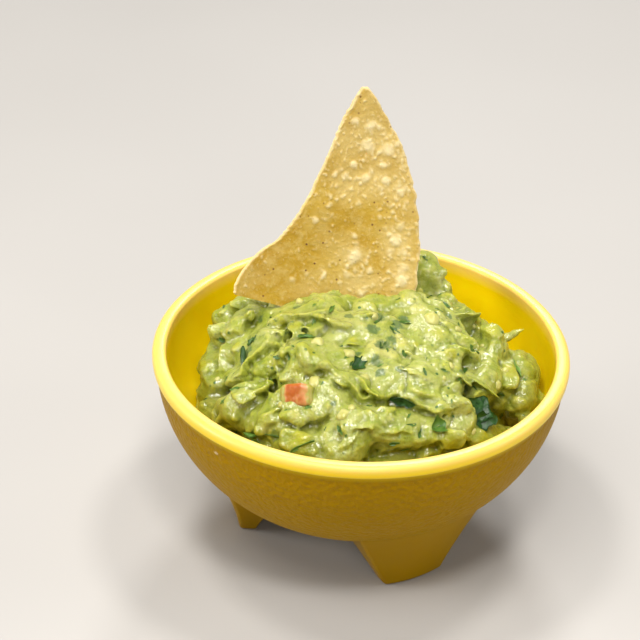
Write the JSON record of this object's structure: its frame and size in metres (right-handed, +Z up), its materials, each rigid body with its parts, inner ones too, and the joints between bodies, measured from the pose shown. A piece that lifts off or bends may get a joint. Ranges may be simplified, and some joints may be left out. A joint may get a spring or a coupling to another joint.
{
  "type": "guacamole",
  "caption": "Chunky guacamole heaped in a small round footed plastic bowl, with a triangular tortilla chip standing in it.",
  "frame": {"origin": "on the table under the middle of the three-footed bowl", "axes": "+Z up, along the bowl's axis; the broad face of the chip faces -Y"},
  "size_m": [0.12, 0.12, 0.1271],
  "materials": {
    "bowl": "moulded yellow plastic, smooth inside and on the rim, finely pebbled outside",
    "guacamole": "moist mashed avocado with herb pieces, stands in for food",
    "tortilla_chip": "dry fried corn with blisters, stands in for food",
    "tomato": "wet tomato flesh, stands in for food"
  },
  "bodies": {
    "root": {"bowl": "bowl", "guacamole": "guacamole", "tortilla_chip": "tortilla_chip", "tomato_cube": "tomato"}
  },
  "joints": []
}
